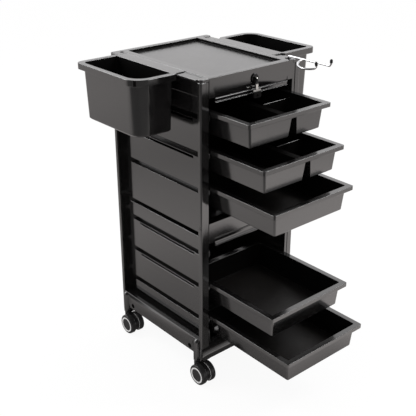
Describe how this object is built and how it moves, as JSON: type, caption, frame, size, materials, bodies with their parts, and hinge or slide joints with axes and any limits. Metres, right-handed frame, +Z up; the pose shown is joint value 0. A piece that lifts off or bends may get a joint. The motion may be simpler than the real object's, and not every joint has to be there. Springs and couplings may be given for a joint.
{
  "type": "rolling salon trolley",
  "caption": "Upright plastic salon cart with hanging drawers, a recessed top tray, hook-on side bins, a wire dryer holder, a cam lock and twin-wheel casters.",
  "frame": {"origin": "the middle of the whole object's footprint, on the floor", "axes": "+X to the right along the front, +Y towards the back, +Z up; the drawers open towards -Y"},
  "size_m": [0.5876, 0.662, 0.8736],
  "materials": {
    "cabinet_plastic": "glossy black moulded plastic with soft reflections",
    "drawer_plastic": "glossy black moulded plastic, a little scuffed inside",
    "bin_plastic": "glossy black moulded plastic",
    "back_plastic": "satin black sheet",
    "caster_plastic": "black nylon housing",
    "wheel_plastic": "black nylon wheel with a satin tread",
    "ring_plastic": "white trim ring",
    "socket_plastic": "satin black plug",
    "key_plastic": "glossy black key grip",
    "lock_black": "black lock collar",
    "lock_metal": "bright nickel-plated",
    "holder_chrome": "polished chrome wire",
    "cap_rubber": "dipped black rubber",
    "stem_steel": "zinc-plated steel",
    "screw_steel": "black oxide"
  },
  "bodies": {
    "cabinet": {"top_tray": "cabinet_plastic", "front_fascia": "cabinet_plastic", "front_left_post": "cabinet_plastic", "front_right_post": "cabinet_plastic", "rear_left_post": "cabinet_plastic", "rear_right_post": "cabinet_plastic", "left_upper_panel": "cabinet_plastic", "left_lower_panel": "cabinet_plastic", "right_upper_panel": "cabinet_plastic", "right_lower_panel": "cabinet_plastic", "upper_back_panel": "back_plastic", "lower_back_panel": "back_plastic", "middle_shelf": "cabinet_plastic", "base_frame": "cabinet_plastic", "frame_screws": "screw_steel", "caster_stems": "stem_steel", "lock_barrel": "lock_black", "lock_nut": "lock_metal", "holder_socket": "socket_plastic"},
    "drawer_1": {"drawer_1": "drawer_plastic"},
    "drawer_2": {"drawer_2": "drawer_plastic"},
    "drawer_3": {"drawer_3": "drawer_plastic"},
    "drawer_4": {"drawer_4": "drawer_plastic"},
    "drawer_5": {"drawer_5": "drawer_plastic"},
    "left_bin": {"left_bin": "bin_plastic"},
    "right_bin": {"right_bin": "bin_plastic"},
    "lock_core": {"lock_plug": "lock_black", "lock_cam": "lock_metal"},
    "key": {"key_blade": "lock_metal"},
    "key_handle": {"key_tongue": "lock_metal", "key_grip": "key_plastic"},
    "dryer_holder": {"holder_wire": "holder_chrome", "holder_caps": "cap_rubber"},
    "front_left_caster": {"front_left_fork": "caster_plastic", "front_left_axle": "stem_steel"},
    "front_left_outer_roller": {"front_left_outer_wheel": "wheel_plastic", "front_left_outer_ring": "ring_plastic"},
    "front_left_inner_roller": {"front_left_inner_wheel": "wheel_plastic", "front_left_inner_ring": "ring_plastic"},
    "front_right_caster": {"front_right_fork": "caster_plastic", "front_right_axle": "stem_steel"},
    "front_right_outer_roller": {"front_right_outer_wheel": "wheel_plastic", "front_right_outer_ring": "ring_plastic"},
    "front_right_inner_roller": {"front_right_inner_wheel": "wheel_plastic", "front_right_inner_ring": "ring_plastic"},
    "rear_left_caster": {"rear_left_fork": "caster_plastic", "rear_left_axle": "stem_steel"},
    "rear_left_outer_roller": {"rear_left_outer_wheel": "wheel_plastic", "rear_left_outer_ring": "ring_plastic"},
    "rear_left_inner_roller": {"rear_left_inner_wheel": "wheel_plastic", "rear_left_inner_ring": "ring_plastic"},
    "rear_right_caster": {"rear_right_fork": "caster_plastic", "rear_right_axle": "stem_steel"},
    "rear_right_outer_roller": {"rear_right_outer_wheel": "wheel_plastic", "rear_right_outer_ring": "ring_plastic"},
    "rear_right_inner_roller": {"rear_right_inner_wheel": "wheel_plastic", "rear_right_inner_ring": "ring_plastic"}
  },
  "joints": [
    {"name": "drawer_1_slide", "type": "slide", "parent": "cabinet", "child": "drawer_1", "axis": [0, -1, 0], "range_m": [-0.132, 0.159]},
    {"name": "drawer_2_slide", "type": "slide", "parent": "cabinet", "child": "drawer_2", "axis": [0, -1, 0], "range_m": [-0.184, 0.107]},
    {"name": "drawer_3_slide", "type": "slide", "parent": "cabinet", "child": "drawer_3", "axis": [0, -1, 0], "range_m": [-0.222, 0.069]},
    {"name": "drawer_4_slide", "type": "slide", "parent": "cabinet", "child": "drawer_4", "axis": [0, -1, 0], "range_m": [-0.228, 0.063]},
    {"name": "drawer_5_slide", "type": "slide", "parent": "cabinet", "child": "drawer_5", "axis": [0, -1, 0], "range_m": [-0.287, 0.004]},
    {"name": "left_bin_lift", "type": "slide", "parent": "cabinet", "child": "left_bin", "axis": [0, 0, 1], "range_m": [0, 0.06]},
    {"name": "right_bin_lift", "type": "slide", "parent": "cabinet", "child": "right_bin", "axis": [0, 0, 1], "range_m": [0, 0.06]},
    {"name": "lock_turn", "type": "hinge", "parent": "cabinet", "child": "lock_core", "pos_m": [0.005, -0.04, 0.826], "axis": [0, -1, 0], "range_deg": [-90, 0]},
    {"name": "key_pull", "type": "slide", "parent": "lock_core", "child": "key", "axis": [0, -1, 0], "range_m": [0, 0.02]},
    {"name": "key_fold", "type": "hinge", "parent": "key", "child": "key_handle", "pos_m": [0.005, -0.0475, 0.826], "axis": [1, 0, 0], "range_deg": [-86, 1]},
    {"name": "holder_swivel", "type": "hinge", "parent": "cabinet", "child": "dryer_holder", "pos_m": [0.143, -0.0195, 0.85], "axis": [0, 0, 1], "range_deg": [-30, 75]},
    {"name": "front_left_swivel", "type": "hinge", "parent": "cabinet", "child": "front_left_caster", "pos_m": [-0.165, -0.0195, 0.05], "axis": [0, 0, 1], "continuous": true},
    {"name": "front_left_outer_spin", "type": "hinge", "parent": "front_left_caster", "child": "front_left_outer_roller", "pos_m": [-0.165, -0.0415, 0.0295], "axis": [1, 0, 0], "continuous": true},
    {"name": "front_left_inner_spin", "type": "hinge", "parent": "front_left_caster", "child": "front_left_inner_roller", "pos_m": [-0.165, -0.0415, 0.0295], "axis": [1, 0, 0], "continuous": true},
    {"name": "front_right_swivel", "type": "hinge", "parent": "cabinet", "child": "front_right_caster", "pos_m": [0.165, -0.0195, 0.05], "axis": [0, 0, 1], "continuous": true},
    {"name": "front_right_outer_spin", "type": "hinge", "parent": "front_right_caster", "child": "front_right_outer_roller", "pos_m": [0.165, -0.0415, 0.0295], "axis": [1, 0, 0], "continuous": true},
    {"name": "front_right_inner_spin", "type": "hinge", "parent": "front_right_caster", "child": "front_right_inner_roller", "pos_m": [0.165, -0.0415, 0.0295], "axis": [1, 0, 0], "continuous": true},
    {"name": "rear_left_swivel", "type": "hinge", "parent": "cabinet", "child": "rear_left_caster", "pos_m": [-0.165, 0.3105, 0.05], "axis": [0, 0, 1], "continuous": true},
    {"name": "rear_left_outer_spin", "type": "hinge", "parent": "rear_left_caster", "child": "rear_left_outer_roller", "pos_m": [-0.165, 0.2885, 0.0295], "axis": [1, 0, 0], "continuous": true},
    {"name": "rear_left_inner_spin", "type": "hinge", "parent": "rear_left_caster", "child": "rear_left_inner_roller", "pos_m": [-0.165, 0.2885, 0.0295], "axis": [1, 0, 0], "continuous": true},
    {"name": "rear_right_swivel", "type": "hinge", "parent": "cabinet", "child": "rear_right_caster", "pos_m": [0.165, 0.3105, 0.05], "axis": [0, 0, 1], "continuous": true},
    {"name": "rear_right_outer_spin", "type": "hinge", "parent": "rear_right_caster", "child": "rear_right_outer_roller", "pos_m": [0.165, 0.2885, 0.0295], "axis": [1, 0, 0], "continuous": true},
    {"name": "rear_right_inner_spin", "type": "hinge", "parent": "rear_right_caster", "child": "rear_right_inner_roller", "pos_m": [0.165, 0.2885, 0.0295], "axis": [1, 0, 0], "continuous": true}
  ]
}
